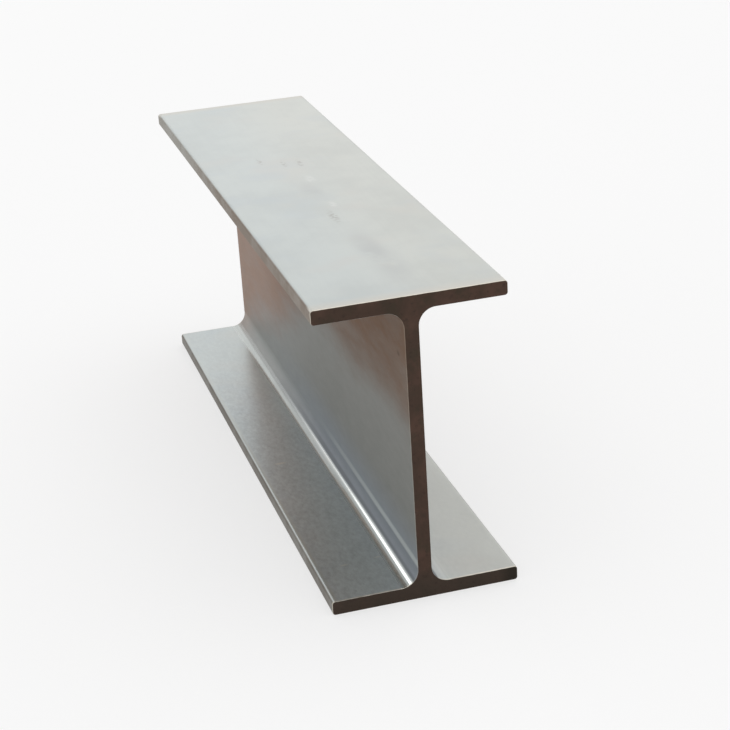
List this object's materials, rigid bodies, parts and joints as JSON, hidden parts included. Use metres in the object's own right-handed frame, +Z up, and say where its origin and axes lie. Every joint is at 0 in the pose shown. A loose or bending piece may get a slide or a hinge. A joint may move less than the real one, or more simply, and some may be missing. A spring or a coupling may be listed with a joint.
{
  "type": "steel i-beam",
  "caption": "Short sawn length of rolled steel I-beam: an upright web between two parallel flanges, used to span gaps and carry loads.",
  "frame": {"origin": "centre of the bottom flange's underside, halfway along the beam", "axes": "+X along the beam, +Y across the flanges, +Z up the web from the bottom flange to the top flange"},
  "size_m": [0.189, 0.047, 0.078],
  "materials": {
    "steel": "satin"
  },
  "bodies": {
    "root": {"i_beam": "steel"}
  },
  "joints": []
}
